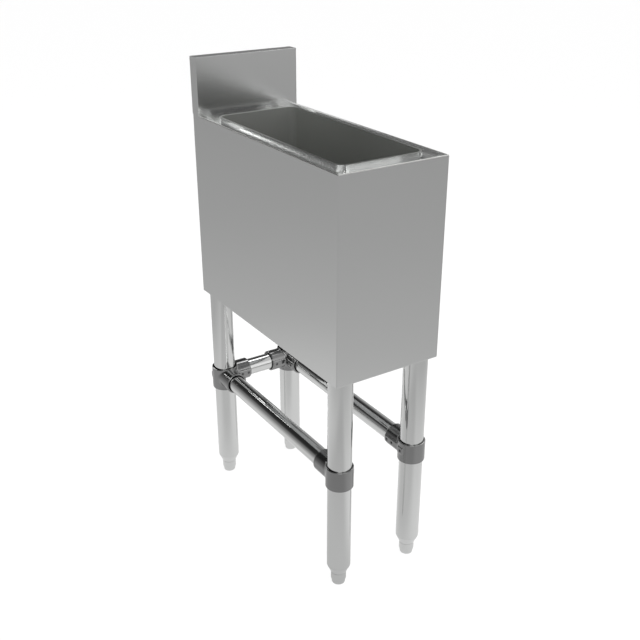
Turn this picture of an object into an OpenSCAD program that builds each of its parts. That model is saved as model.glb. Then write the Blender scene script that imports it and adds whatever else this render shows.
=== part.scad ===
// Underbar ice bin: a narrow insulated stainless cabinet with a backsplash, on four braced tube
// legs with screw-in bullet feet. Lengths are millimetres. The origin is on the floor, under the
// middle of the whole bin; +X is the user's right, +Y the wall side and +Z up.

/* [Cabinet] */
// Width over the two side skins
body_w = 205; // [195:1:320]
// Depth from the front skin to the back of the backsplash
body_d = 473; // [440:1:620]
// Height of the cabinet's top edge above the floor
work_h = 764; // [700:1:900]
// Height of the skins, from their lower edge to the top edge
skin_h = 347.5; // [330:0.5:420]
// Thickness of the skin sheet, which is folded double along its edges
skin_t = 1.5; // [1:0.1:2]
// Outer radius of the two upright bends at the front
bend_r = 2; // [1:0.25:5]
// Height of the folded lower edge
base_hem_h = 12; // [8:1:16]
// Width of the flanges that turn in behind the back
return_w = 15; // [12:1:22]

/* [Backsplash] */
// Height of the backsplash above the cabinet's top edge
splash_h = 102; // [60:1:200]
// Depth of the backsplash box
splash_t = 25.4; // [20:0.1:40]
// How far the backsplash's back flange overlaps the back panel
splash_lap = 17; // [12:1:30]
// How far the end caps' inner flanges reach into the backsplash
cap_flange = 8; // [5:1:15]

/* [Deck] */
// How far the deck lies below the cabinet's top edge
deck_recess = 13; // [8:0.5:20]
// Thickness of the deck sheet
deck_t = 1.2; // [0.8:0.1:2]
// Height of the deck's outer edges, turned down inside the skins
deck_turn = 12; // [8:1:18]

/* [Ice well] */
// Distance from each side skin's face to the well's opening
well_side = 25.9; // [24:0.1:45]
// Distance from the front face to the well's opening
well_front = 33; // [28:0.5:60]
// Distance from the backsplash's face to the well's opening
well_rear = 29.6; // [26:0.1:60]
// Radius of the well's upright corners
well_corner_r = 14; // [8:0.5:25]
// Radius between the well's walls and floor
well_cove_r = 12; // [6:0.5:20]
// Thickness of the liner sheet
liner_t = 1.2; // [0.8:0.1:1.6]
// How far the well's rim stands above the cabinet's top edge
rim_up = 2.5; // [0:0.1:8]
// Width of the rolled rim
rim_w = 4.5; // [4:0.1:8]
// How far the well's floor falls from each end to the drain
floor_fall = 8; // [3:0.5:15]
// Length of the level part of the floor round the drain
drain_flat = 70; // [64:1:100]

/* [Base] */
// How far the base panel lies above the skins' lower edge
base_up = 22; // [20:0.5:40]
// Thickness of the base panel sheet
base_t = 1.2; // [0.8:0.1:2]
// Height of the channels between the base panel and the floor foam
channel_h = 22; // [16:1:40]
// Width of the base channels
channel_w = 30; // [24:1:40]
// Thickness of the base channels' sheet
channel_t = 1.5; // [1:0.1:2.5]
// Thickness of the foam under the well at its lowest place
floor_foam = 20; // [14:1:40]

/* [Drain] */
// Radius of the drain's flange
drain_flange_r = 27; // [25:0.5:30]
// Outer radius of the drain's threaded body
drain_body_r = 20.5; // [19:0.5:22]
// Inner radius of the drain
drain_bore_r = 14; // [10:0.5:15]
// Outer radius of the tailpiece's thread
tail_r = 16.7; // [15.7:0.1:17.2]
// Wall of the tailpiece
tail_wall = 2.7; // [2:0.1:4]
// How far the tailpiece hangs below the skins' lower edge
tail_drop = 44; // [42:1:90]
// Length of the tailpiece's thread
tail_thread = 38; // [25:1:40]

/* [Legs] */
// Outer diameter of a leg tube
leg_od = 42.2; // [38:0.1:42.2]
// Wall of a leg tube
leg_wall = 1.5; // [1.2:0.1:2.5]
// Distance from a leg's axis to the nearest side face
leg_inset_side = 25.5; // [25.5:0.1:32]
// Distance from a front leg's axis to the front face
leg_inset_front = 25.5; // [25.5:0.1:60]
// Distance from a rear leg's axis to the back of the backsplash
leg_inset_rear = 25.5; // [25.5:0.1:60]
// Wall of a leg socket's sleeve
sleeve_wall = 1.1; // [1:0.1:1.1]
// How far a socket reaches above the base panel
sleeve_up = 18; // [12:1:21]

/* [Braces] */
// Height of the braces' axes above the floor
brace_z = 232.3; // [150:0.1:330]
// Outer diameter of a brace tube
brace_od = 33.4; // [25:0.1:33.6]
// Wall of a brace tube
brace_wall = 1.5; // [1.2:0.1:2.5]
// Wall of a cast fitting round its tubes
cast_wall = 2.5; // [2:0.1:3]
// Gap between a front fitting's collar and the leg
tee_gap = 0.8; // [0.2:0.1:1]
// Gap between a rear fitting's collar and the leg
corner_gap = 1.7; // [0.2:0.1:1.7]
// Gap between a fitting's arm and the brace in it
arm_gap = 1.8; // [0.2:0.1:2]
// Height of a front fitting's collar
tee_h = 38.6; // [36:0.2:45]
// Height of a rear fitting's collar
corner_h = 45.4; // [40:0.2:50]
// How far the collars' middles lie below the braces' axes
collar_drop = 3; // [0:0.5:4]
// Reach of a fitting's arm from the leg's axis
arm_reach = 50.8; // [48:0.2:65]
// Width of the flat pads that hold the set screws
pad_w = 14; // [10:0.5:16]
// Height of those pads above the round of the fitting
pad_proud = 1.2; // [0.8:0.1:2]
// Diameter of the set screws
set_screw_d = 6; // [5:0.5:7]

/* [Feet] */
// Height of the foot's cone, from the tube's end to the bullet
cone_h = 17.4; // [12:0.1:25]
// Diameter of the bullet's gripping ring
ring_d = 27.4; // [24:0.1:32]
// Height of the gripping ring
ring_h = 15; // [8:0.5:20]
// Diameter of the bullet's nose
nose_d = 24; // [18:0.1:25]
// Height of the nose below the ring
nose_h = 9; // [5:0.5:12]
// Radius of the nose's lower edge
nose_round = 2.5; // [0.5:0.1:4]
// Diameter of the foot's stud
stud_d = 12.7; // [10:0.1:14]
// How far a foot screws out
foot_travel = 25; // [12:1:30]

/* [Hidden] */
$fn = 64;

// The four corners as the signs of X and Y
front_left = [-1, -1];
front_right = [1, -1];
rear_left = [-1, 1];
rear_right = [1, 1];
corners = [front_left, front_right, rear_left, rear_right];

// Colours
satin = [0.62, 0.62, 0.61];
dark_satin = [0.36, 0.37, 0.35];
zinc = [0.66, 0.68, 0.69];
polished = [0.75, 0.76, 0.76];
cast_metal = [0.47, 0.47, 0.47];
foam_colour = [0.93, 0.88, 0.68];
rubber_black = [0.12, 0.12, 0.12];
chrome_plate = [0.80, 0.80, 0.80];

// A hair, for cuts that run past a face
eps = 0.01;

// Planes of the cabinet
skirt_z = work_h - skin_h;
deck_z = work_h - deck_recess;
rim_z = work_h + rim_up;
splash_top = work_h + splash_h;
splash_y = body_d / 2 - splash_t;
side_x = body_w / 2;
front_y = -body_d / 2;
back_y = body_d / 2;
hem_w = 2 * skin_t;

// Planes of the base
base_z = skirt_z + base_up;
base_back = back_y - hem_w;
floor_foam_z = base_z + channel_h;
liner_low = floor_foam_z + floor_foam;
well_low = liner_low + liner_t;

// The well's opening
well_x = side_x - well_side;
well_y0 = front_y + well_front;
well_y1 = splash_y - well_rear;
drain_y = (well_y0 + well_y1) / 2;

// Legs, sockets and feet
leg_r = leg_od / 2;
leg_x = side_x - leg_inset_side;
leg_y_front = front_y + leg_inset_front;
leg_y_rear = back_y - leg_inset_rear;
sleeve_gap = 0.1;
sleeve_r = leg_r + sleeve_gap + sleeve_wall;
sleeve_cap = 2;
sleeve_lift = 4;
sleeve_low = skirt_z + sleeve_lift;
sleeve_high = base_z + sleeve_up;
leg_top = sleeve_high - sleeve_cap;
foot_gap = 0.25;
foot_h = nose_h + ring_h;
cone_low = foot_h + foot_gap;
leg_low = cone_low + cone_h;

// The sockets' plates and bolts
plate_t = 3;
plate_side = 38;
bolt_margin = 9;
plate_z = base_z - base_t - plate_t;
bolt_at = plate_side - bolt_margin;
bolt_r = 3;
bolt_head_r = 5.8;
bolt_head_h = 4;
nut_h = 5;
bolt_spots = [[bolt_at, -bolt_at / 2], [bolt_at, bolt_at], [-bolt_at / 2, bolt_at]];
socket_boss_r = 6;
socket_boss_len = 6;
socket_boss_lift = 0.5;
socket_screw_z = sleeve_low + socket_boss_r + socket_boss_lift;

// Brace fittings
brace_r = brace_od / 2;
tee_bore = leg_r + tee_gap;
corner_bore = leg_r + corner_gap;
arm_bore = brace_r + arm_gap;
arm_r = arm_bore + cast_wall;
brace_stop = 1.4;
brace_end = max(tee_bore, corner_bore) + brace_stop;
cast_edge = 1;
screw_r = set_screw_d / 2;
screw_sink = 0.5;
screw_inset = 2;
screw_from_end = 7.3;
arm_screws = [brace_end + screw_r + screw_inset, arm_reach - screw_from_end];

function leg_y(c) = c[1] < 0 ? leg_y_front : leg_y_rear;

// Puts its children on a leg's axis, with local +X and +Y pointing into the bin
module at_leg(c) {
  translate([c[0] * leg_x, leg_y(c), 0])
    mirror([c[0] > 0 ? 1 : 0, 0, 0])
      mirror([0, c[1] > 0 ? 1 : 0, 0])
        children();
}

// A solid between two heights from a plan outline
module between(z0, z1) {
  translate([0, 0, z0])
    linear_extrude(z1 - z0)
      children();
}

// A solid across the bin from an outline in Y and Z
module across(x0, x1) {
  translate([x0, 0, 0])
    rotate([90, 0, 90])
      linear_extrude(x1 - x0)
        children();
}

// A rectangle from one corner to the other
module span(x0, y0, x1, y1) {
  translate([x0, y0])
    square([x1 - x0, y1 - y0]);
}

// A tube along Z
module tube(r_out, r_in, z0, z1) {
  between(z0, z1)
    difference() {
      circle(r_out);
      circle(r_in);
    }
}

// A cylinder along Z with its two edges broken
module soft_cylinder(r, z0, z1, edge) {
  rotate_extrude()
    polygon([[0, z0], [r - edge, z0], [r, z0 + edge], [r, z1 - edge], [r - edge, z1], [0, z1]]);
}

// The plan of the skins' outside, drawn in by an inset, with its front corners bent
module skin_plan(inset, back) {
  x = side_x - inset;
  y = front_y + inset;
  r = bend_r - inset;
  if (r > 0) {
    span(-x, y + r, x, back);
    span(-x + r, y, x - r, y + 2 * r);
    for (side = [-1, 1])
      translate([side * (x - r), y + r])
        circle(r);
  } else {
    span(-x, y, x, back);
  }
}

// The plan of a strip that follows the front and side skins, between two insets
module skin_strip(outer, inner, back) {
  difference() {
    skin_plan(outer, back);
    skin_plan(inner, back + 1);
  }
}

// The plan of the well's opening, grown by a margin
module well_plan(grow) {
  x = well_x + grow;
  y0 = well_y0 - grow;
  y1 = well_y1 + grow;
  r = well_corner_r + grow;
  span(-x + r, y0, x - r, y1);
  span(-x, y0 + r, x, y1 - r);
  for (side = [-1, 1], y = [y0 + r, y1 - r])
    translate([side * (x - r), y])
      circle(r);
}

// The side view of the well's space: a level middle, a rise to each end and coved ends
module well_side_view(grow, top) {
  y0 = well_y0 - grow;
  y1 = well_y1 + grow;
  z0 = well_low - grow;
  flat0 = drain_y - drain_flat / 2;
  flat1 = drain_y + drain_flat / 2;
  rise = atan(floor_fall / (flat0 - well_y0));
  cove = well_cove_r + grow;
  cove_z = z0 + (flat0 - y0 - cove) * tan(rise) + cove / cos(rise);
  foot_y = cove * (1 - sin(rise));
  foot_z = cove_z - cove * cos(rise);
  polygon([
    [y0, top], [y0, cove_z], [y0 + foot_y, foot_z], [flat0, z0],
    [flat1, z0], [y1 - foot_y, foot_z], [y1, cove_z], [y1, top]
  ]);
  for (y = [y0 + cove, y1 - cove])
    translate([y, cove_z])
      circle(cove);
}

// The front view of the well's space: upright walls and coved lower edges
module well_front_view(grow, top) {
  x = well_x + grow;
  z0 = well_low - grow;
  cove = well_cove_r + grow;
  span(-x, z0 + cove, x, top);
  span(-x + cove, z0, x - cove, z0 + 2 * cove);
  for (side = [-1, 1])
    translate([side * (x - cove), z0 + cove])
      circle(cove);
}

// The well's space, grown by the liner's thickness for the liner's outside
module well_space(grow, top) {
  intersection() {
    between(well_low - 2 * liner_t, top) well_plan(grow);
    across(-side_x, side_x) well_side_view(grow, top);
    translate([0, back_y, 0])
      rotate([90, 0, 0])
        linear_extrude(body_d)
          well_front_view(grow, top);
  }
}

// The outline of the backsplash box in Y and Z, drawn in by an inset, with rounded top bends
module splash_view(inset, low) {
  y0 = splash_y + inset;
  y1 = back_y - inset;
  z1 = splash_top - inset;
  r = max(bend_r - inset, 0.3);
  span(y0, low, y1, z1 - r);
  span(y0 + r, low, y1 - r, z1);
  for (y = [y0 + r, y1 - r])
    translate([y, z1 - r])
      circle(r);
}

// Where the back panel's screws sit, on the flanges behind it
back_screw_x = side_x - return_w / 2;
back_screw_low = 30;
back_screw_high = 22;
back_screw_z = [
  skirt_z + back_screw_low, (skirt_z + work_h) / 2, work_h - splash_lap - back_screw_high
];
back_screw_r = 1.7;
back_head_r = 3.4;
back_screw_len = 9;
panel_drop = 4;

module at_back_screws() {
  for (side = [-1, 1], z = back_screw_z)
    translate([side * back_screw_x, back_y, z])
      rotate([90, 0, 0])
        children();
}

module cabinet_skin() {
  color(satin)
    difference() {
      union() {
        between(skirt_z, work_h) skin_strip(0, skin_t, back_y);
        between(deck_z, work_h) skin_strip(0, hem_w, splash_y);
        between(skirt_z, skirt_z + base_hem_h) skin_strip(0, hem_w, base_back);
        for (side = [-1, 1])
          between(skirt_z, work_h - splash_lap)
            mirror([side < 0 ? 1 : 0, 0])
              span(side_x - return_w, back_y - skin_t, side_x, back_y);
      }
      at_back_screws() {
        cylinder(h = skin_t, r1 = back_head_r, r2 = back_screw_r);
        translate([0, 0, -eps])
          cylinder(h = 2 * skin_t, r = back_screw_r);
      }
    }
}

module back_panel() {
  color(satin)
    difference() {
      across(-side_x + skin_t, side_x - skin_t)
        span(back_y - hem_w, skirt_z, back_y - skin_t, work_h - panel_drop);
      at_back_screws()
        cylinder(h = hem_w + 1, r = back_screw_r);
    }
}

module back_screws() {
  color(chrome_plate)
    at_back_screws() {
      cylinder(h = skin_t, r1 = back_head_r, r2 = back_screw_r);
      cylinder(h = back_screw_len, r = back_screw_r);
    }
}

module backsplash() {
  front_low = deck_z - deck_t - deck_turn;
  back_low = work_h - splash_lap;
  color(satin)
    across(-side_x + skin_t, side_x - skin_t)
      difference() {
        splash_view(0, front_low);
        splash_view(skin_t, front_low - 1);
        span(splash_y + skin_t, front_low - 1, back_y + 1, back_low);
      }
}

module backsplash_cap(side) {
  color(satin)
    mirror([side < 0 ? 1 : 0, 0, 0]) {
      across(side_x - skin_t, side_x)
        splash_view(0, work_h);
      across(side_x - skin_t - cap_flange, side_x - skin_t)
        difference() {
          splash_view(skin_t, work_h);
          splash_view(hem_w, work_h - 1);
        }
    }
}

module top_deck() {
  coaming = liner_t + deck_t;
  color(satin) {
    between(deck_z - deck_t, deck_z)
      difference() {
        skin_plan(skin_t, splash_y);
        well_plan(liner_t);
      }
    between(deck_z - deck_t - deck_turn, deck_z - deck_t)
      difference() {
        skin_plan(skin_t, splash_y);
        skin_plan(skin_t + deck_t, splash_y - deck_t);
      }
    between(deck_z, rim_z - liner_t - 0.5)
      difference() {
        well_plan(coaming);
        well_plan(liner_t);
      }
  }
}

module well_liner() {
  color(dark_satin)
    difference() {
      union() {
        well_space(liner_t, rim_z);
        between(deck_z, rim_z)
          difference() {
            well_plan(rim_w);
            well_plan(rim_w - liner_t);
          }
        between(rim_z - liner_t, rim_z) well_plan(rim_w);
      }
      well_space(0, rim_z + 1);
      translate([0, drain_y, liner_low - 1])
        cylinder(h = liner_t + 2, r = drain_body_r);
    }
}

module base_panel() {
  color(zinc)
    difference() {
      union() {
        between(base_z - base_t, base_z) skin_plan(skin_t, base_back);
        between(skirt_z + base_hem_h, base_z)
          difference() {
            skin_plan(skin_t, base_back);
            skin_plan(skin_t + base_t, base_back - base_t);
          }
      }
      for (c = [rear_left, rear_right])
        at_leg(c)
          between(skirt_z, base_z - base_t)
            span(-sleeve_r - sleeve_gap, -sleeve_r - 1, plate_side + 1, 0);
      for (c = corners)
        at_leg(c) {
          between(base_z - 2 * base_t, base_z + 1) circle(sleeve_r + sleeve_gap);
          for (spot = bolt_spots)
            between(base_z - 2 * base_t, base_z + 1) translate(spot) circle(bolt_r);
        }
      at_drain(base_z - 2 * base_t)
        cylinder(h = 4 * base_t, r = grommet_groove_r);
      at_rivets(base_z - 2 * base_t)
        cylinder(h = 4 * base_t, r = rivet_r);
    }
}

// The base channels: hat sections that carry the floor foam
channel_gap = 3;
channel_y0 = leg_y_front + plate_side + channel_gap;
channel_y1 = leg_y_rear - plate_side - channel_gap;
channel_foot = 9;
rivet_margin = 15;
rivet_tail = 1.4;
rivet_r = 2;
rivet_head_r = 3.8;
rivet_head_h = 1.4;

module at_rivets(z) {
  for (side = [-1, 1], foot = [-1, 1], y = [channel_y0 + rivet_margin, channel_y1 - rivet_margin])
    translate([side * leg_x + foot * (channel_w - channel_foot) / 2, y, z])
      children();
}

module base_channel(side) {
  half = channel_w / 2;
  web = half - channel_foot;
  color(zinc)
    difference() {
      translate([side * leg_x, channel_y1, base_z])
        rotate([90, 0, 0])
          linear_extrude(channel_y1 - channel_y0)
            difference() {
              union() {
                span(-half, 0, half, channel_t);
                span(-web - channel_t, 0, web + channel_t, channel_h);
              }
              span(-web, -1, web, channel_h - channel_t);
            }
      at_rivets(base_z - 1)
        cylinder(h = channel_t + 2, r = rivet_r);
    }
}

module channel_rivets() {
  color(zinc) {
    at_rivets(base_z - base_t)
      cylinder(h = base_t + channel_t, r = rivet_r);
    at_rivets(base_z - base_t - rivet_head_h)
      cylinder(h = rivet_head_h, r = rivet_head_r);
    at_rivets(base_z + channel_t)
      cylinder(h = rivet_head_h, r = rivet_r * rivet_tail);
  }
}

// The foam between the liner and the skins
foam_top = deck_z - deck_t - deck_turn;
screw_room = 0.3;

module foam_side(side) {
  color(foam_colour)
    difference() {
      mirror([side < 0 ? 1 : 0, 0, 0])
        between(floor_foam_z, foam_top)
          intersection() {
            skin_plan(skin_t, back_y - hem_w);
            span(well_x + liner_t, front_y, side_x, back_y);
          }
      at_back_screws()
        cylinder(h = back_screw_len + 1, r = back_screw_r + screw_room);
    }
}

module foam_end(y0, y1) {
  color(foam_colour)
    between(floor_foam_z, foam_top)
      span(-well_x - liner_t, y0, well_x + liner_t, y1);
}

module foam_floor() {
  color(foam_colour)
    difference() {
      across(-well_x - liner_t, well_x + liner_t)
        span(well_y0 - liner_t, floor_foam_z, well_y1 + liner_t, liner_low + floor_fall + well_cove_r);
      well_space(liner_t, rim_z);
      at_drain(floor_foam_z - 1)
        cylinder(h = floor_foam + 2, r = locknut_r + locknut_room);
    }
}

// The drain: a flanged body through the floor, a crossbar in it, a gasket, a locknut, a strainer and
// a tailpiece
drain_flange_h = 2;
strainer_seat = 5.5;
strainer_r = drain_flange_r - strainer_seat;
strainer_t = 1.2;
gasket_t = 3;
locknut_h = 8;
locknut_r = 30;
locknut_room = 2;
drain_body_h = 34;
drain_low = liner_low - drain_body_h;
tail_socket = 16;
crossbar_drop = 9;
crossbar_z = well_low - crossbar_drop;
crossbar_t = 3.5;
crossbar_w = 4;
crossbar_hub_r = 4.5;
grommet_wall = 5;
grommet_groove_r = tail_r + grommet_wall;
grommet_lip = 3;
tail_plain_r = tail_r + 0.4;
tail_low = skirt_z - tail_drop;
strainer_screw_r = 2.5;

module at_drain(z) {
  translate([0, drain_y, z])
    children();
}

module drain_body() {
  color(polished)
    at_drain(0)
      difference() {
        union() {
          cylinder_between(drain_body_r, drain_low, well_low + drain_flange_h / 2);
          rotate_extrude()
            polygon([
              [0, well_low], [drain_flange_r, well_low], [drain_flange_r - 2, well_low + drain_flange_h],
              [0, well_low + drain_flange_h]
            ]);
        }
        cylinder_between(strainer_r, well_low + drain_flange_h - strainer_t, well_low + drain_flange_h + 1);
        cylinder_between(drain_bore_r, drain_low - 1, well_low + drain_flange_h);
        cylinder_between(tail_plain_r, drain_low - 1, drain_low + tail_socket);
      }
}

module drain_crossbar() {
  color(polished)
    at_drain(0)
      difference() {
        between(crossbar_z, crossbar_z + crossbar_t)
          intersection() {
            circle(drain_bore_r);
            union() {
              square([2 * drain_body_r, crossbar_w], center = true);
              square([crossbar_w, 2 * drain_body_r], center = true);
              circle(crossbar_hub_r);
            }
          }
        cylinder_between(strainer_screw_r, crossbar_z - 1, crossbar_z + crossbar_t + 1);
      }
}

module cylinder_between(r, z0, z1) {
  translate([0, 0, z0])
    cylinder(h = z1 - z0, r = r);
}

module drain_gasket() {
  color(rubber_black)
    at_drain(0)
      tube(drain_flange_r + 2, drain_body_r, liner_low - gasket_t, liner_low);
}

module drain_locknut() {
  color(polished)
    at_drain(liner_low - gasket_t - locknut_h)
      difference() {
        cylinder(h = locknut_h, r = locknut_r, $fn = 6);
        translate([0, 0, -1])
          cylinder(h = locknut_h + 2, r = drain_body_r);
      }
}

module drain_strainer() {
  slot_rings = [[6, 6.5], [12, 12], [18, 17.5]];
  color(polished)
    at_drain(well_low + drain_flange_h - strainer_t)
      difference() {
        cylinder(h = strainer_t, r = strainer_r);
        translate([0, 0, -1])
          cylinder(h = strainer_t + 2, r = strainer_screw_r);
        for (ring = slot_rings, i = [0 : ring[0] - 1])
          rotate(360 * i / ring[0])
            translate([ring[1], 0, -1])
              cylinder(h = strainer_t + 2, r = 1.7);
      }
}

module strainer_screw() {
  top = well_low + drain_flange_h;
  color(chrome_plate)
    at_drain(0)
      difference() {
        union() {
          cylinder_between(strainer_screw_r, crossbar_z, top);
          soft_cylinder(4.6, top, top + 2.2, 0.8);
        }
        between(top + 1.1, top + 3)
          square([10, 1], center = true);
      }
}

module drain_tailpiece() {
  thread_top = tail_low + tail_thread;
  color(polished)
    at_drain(0)
      difference() {
        union() {
          cylinder_between(tail_plain_r, thread_top, drain_low + tail_socket);
          cylinder_between(tail_r, tail_low + 1, thread_top);
          translate([0, 0, tail_low])
            cylinder(h = 1, r1 = tail_r - 1, r2 = tail_r);
        }
        cylinder_between(tail_r - tail_wall, tail_low - 1, drain_low + tail_socket + 1);
      }
}

module drain_grommet() {
  low = base_z - base_t - grommet_lip;
  high = base_z + grommet_lip;
  color(rubber_black)
    at_drain(0)
      difference() {
        cylinder_between(grommet_groove_r + 3, low, high);
        cylinder_between(tail_plain_r, low - 1, high + 1);
        difference() {
          cylinder_between(grommet_groove_r + 4, base_z - base_t, base_z);
          cylinder_between(grommet_groove_r, base_z - base_t - 1, base_z + 1);
        }
      }
}

// A leg socket: a plate under the base panel with a capped sleeve through it
module leg_socket(c) {
  color(zinc)
    at_leg(c)
      difference() {
        union() {
          between(plate_z, plate_z + plate_t)
            span(-sleeve_r, -sleeve_r, plate_side, plate_side);
          between(sleeve_low, sleeve_high) circle(sleeve_r);
          socket_screw_axis()
            cylinder(h = sleeve_r + socket_boss_len, r = socket_boss_r);
        }
        between(sleeve_low - 1, leg_top) circle(leg_r + sleeve_gap);
        socket_screw_axis()
          cylinder(h = sleeve_r + socket_boss_len + 1, r = screw_r);
        for (spot = bolt_spots)
          between(plate_z - 1, plate_z + plate_t + 1) translate(spot) circle(bolt_r);
      }
}

// A radial axis towards the middle of the bin, at the height of the socket's set screw
module socket_screw_axis() {
  translate([0, 0, socket_screw_z])
    rotate([0, 90, 45])
      children();
}

module socket_bolts() {
  color(zinc)
    for (c = corners, spot = bolt_spots)
      at_leg(c)
        translate(spot) {
          cylinder_between(bolt_r, plate_z, base_z + nut_h + 1);
          translate([0, 0, plate_z - bolt_head_h])
            cylinder(h = bolt_head_h, r = bolt_head_r, $fn = 6);
        }
}

module socket_nuts() {
  color(zinc)
    for (c = corners, spot = bolt_spots)
      at_leg(c)
        translate(spot)
          difference() {
            translate([0, 0, base_z])
              cylinder(h = nut_h, r = bolt_head_r, $fn = 6);
            cylinder_between(bolt_r, base_z - 1, base_z + nut_h + 1);
          }
}

// A socket set screw along +Z, from the tube that it grips to just inside its pad
module set_screw(grip, face) {
  key_depth = 1.8;
  difference() {
    cylinder_between(screw_r, grip, face - screw_sink);
    translate([0, 0, face - screw_sink - key_depth])
      cylinder(h = key_depth + 1, r = screw_r * 0.62, $fn = 6);
  }
}

module socket_set_screws() {
  color(chrome_plate)
    for (c = corners)
      at_leg(c)
        socket_screw_axis()
          set_screw(leg_r, sleeve_r + socket_boss_len);
}

module leg(c) {
  color(polished)
    at_leg(c)
      tube(leg_r, leg_r - leg_wall, leg_low, leg_top);
}

// A fitting's arm along local +Z, with its pad facing local +X
module arm_body() {
  soft_cylinder(arm_r, 0, arm_reach, cast_edge);
  translate([0, -pad_w / 2, 0])
    cube([arm_r + pad_proud, pad_w, arm_reach - 0.5]);
}

module arm_cut() {
  cylinder_between(arm_bore, brace_end, arm_reach + 1);
  for (along = arm_screws)
    translate([0, 0, along])
      rotate([0, 90, 0])
        cylinder(h = arm_r + pad_proud + 1, r = screw_r);
}

// The side arm runs to the other end of the bin, the cross arm to the other side
module along_side() {
  translate([0, 0, brace_z])
    rotate([-90, 0, 0])
      children();
}

module along_cross() {
  translate([0, 0, brace_z])
    rotate([0, 90, 0])
      rotate(90)
        children();
}

// The set screw that grips the leg: it faces the bin's middle on a tee and straight away from it on
// a corner
module leg_screw_axis(corner) {
  translate([0, 0, brace_z])
    rotate([0, 90, corner ? -135 : 0])
      children();
}

module brace_fitting(c, corner) {
  bore = corner ? corner_bore : tee_bore;
  collar_r = bore + cast_wall;
  collar_h = corner ? corner_h : tee_h;
  collar_low = brace_z - collar_drop - collar_h / 2;
  color(cast_metal)
    at_leg(c)
      difference() {
        union() {
          soft_cylinder(collar_r, collar_low, collar_low + collar_h, cast_edge);
          along_side() arm_body();
          if (corner)
            along_cross() arm_body();
          leg_screw_axis(corner)
            translate([-pad_w / 2, -pad_w / 2, 0])
              cube([pad_w, pad_w, collar_r + pad_proud]);
        }
        cylinder_between(bore, brace_z - collar_h, brace_z + collar_h);
        along_side() arm_cut();
        if (corner)
          along_cross() arm_cut();
        leg_screw_axis(corner)
          cylinder(h = collar_r + pad_proud + 1, r = screw_r);
      }
}

module side_brace(side) {
  color(polished)
    translate([side * leg_x, leg_y_front + brace_end, brace_z])
      rotate([-90, 0, 0])
        tube(brace_r, brace_r - brace_wall, 0, leg_y_rear - leg_y_front - 2 * brace_end);
}

module rear_brace() {
  color(polished)
    translate([-leg_x + brace_end, leg_y_rear, brace_z])
      rotate([0, 90, 0])
        tube(brace_r, brace_r - brace_wall, 0, 2 * (leg_x - brace_end));
}

module arm_set_screws() {
  for (along = arm_screws)
    translate([0, 0, along])
      rotate([0, 90, 0])
        set_screw(brace_r, arm_r + pad_proud);
}

module brace_set_screws() {
  color(chrome_plate)
    for (c = corners)
      at_leg(c) {
        corner = c[1] > 0;
        along_side() arm_set_screws();
        if (corner)
          along_cross() arm_set_screws();
        leg_screw_axis(corner)
          set_screw(leg_r, (corner ? corner_bore : tee_bore) + cast_wall + pad_proud);
      }
}

// The insert in a leg's end: a plug, a cone flush with the tube and a threaded bore that still
// holds the stud when the foot is screwed all the way out
thread_gap = 0.05;
thread_hold = 18.4;
stud_r = stud_d / 2;
stud_low = nose_h + 2;
stud_high = cone_low + foot_travel + thread_hold;
plug_cover = 4;
plug_h = max(stud_high - leg_low, 0) + plug_cover;

module foot_insert(c) {
  shoulder = 2;
  color(polished)
    at_leg(c)
      difference() {
        rotate_extrude()
          polygon([
            [0, cone_low], [ring_d / 2, cone_low], [leg_r - 0.5, leg_low - shoulder], [leg_r, leg_low],
            [leg_r - leg_wall, leg_low], [leg_r - leg_wall, leg_low + plug_h], [0, leg_low + plug_h]
          ]);
        cylinder_between(stud_r + thread_gap, cone_low - 1, leg_low + plug_h + 1);
      }
}

module foot_stud(c) {
  color(zinc)
    at_leg(c)
      cylinder_between(stud_r, stud_low, stud_high);
}

// A bullet foot: a gripping ring over a rounded nose
module bullet_foot(c) {
  ring_r = ring_d / 2;
  nose_r = nose_d / 2;
  steps = 8;
  nose = [for (i = [0 : steps]) [
    nose_r - nose_round + nose_round * sin(90 * i / steps), nose_round - nose_round * cos(90 * i / steps)
  ]];
  color(polished)
    at_leg(c)
      difference() {
        rotate_extrude()
          polygon(concat([[0, 0]], nose, [
            [nose_r, nose_h - 0.5], [ring_r, nose_h + 0.8], [ring_r, foot_h - 0.4], [ring_r - 0.4, foot_h],
            [0, foot_h]
          ]));
        cylinder_between(stud_r, stud_low, foot_h + 1);
      }
}

cabinet_skin();
back_panel();
back_screws();
backsplash();
backsplash_cap(-1);  // backsplash_cap_left
backsplash_cap(1);  // backsplash_cap_right
top_deck();
well_liner();
base_panel();
base_channel(-1);  // base_channel_left
base_channel(1);  // base_channel_right
channel_rivets();
foam_side(-1);  // foam_left
foam_side(1);  // foam_right
foam_end(front_y + skin_t, well_y0 - liner_t);  // foam_front
foam_end(well_y1 + liner_t, back_y - hem_w);  // foam_rear
foam_floor();
drain_body();
drain_crossbar();
drain_gasket();
drain_locknut();
drain_strainer();
strainer_screw();
drain_tailpiece();
drain_grommet();
leg_socket(front_left);  // leg_socket_front_left
leg_socket(front_right);  // leg_socket_front_right
leg_socket(rear_left);  // leg_socket_rear_left
leg_socket(rear_right);  // leg_socket_rear_right
socket_bolts();
socket_nuts();
socket_set_screws();
leg(front_left);  // leg_front_left
leg(front_right);  // leg_front_right
leg(rear_left);  // leg_rear_left
leg(rear_right);  // leg_rear_right
brace_fitting(front_left, false);  // brace_tee_left
brace_fitting(front_right, false);  // brace_tee_right
brace_fitting(rear_left, true);  // brace_corner_left
brace_fitting(rear_right, true);  // brace_corner_right
side_brace(-1);  // side_brace_left
side_brace(1);  // side_brace_right
rear_brace();
brace_set_screws();
foot_insert(front_left);  // foot_insert_front_left
foot_insert(front_right);  // foot_insert_front_right
foot_insert(rear_left);  // foot_insert_rear_left
foot_insert(rear_right);  // foot_insert_rear_right
foot_stud(front_left);  // foot_stud_front_left
foot_stud(front_right);  // foot_stud_front_right
foot_stud(rear_left);  // foot_stud_rear_left
foot_stud(rear_right);  // foot_stud_rear_right
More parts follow.
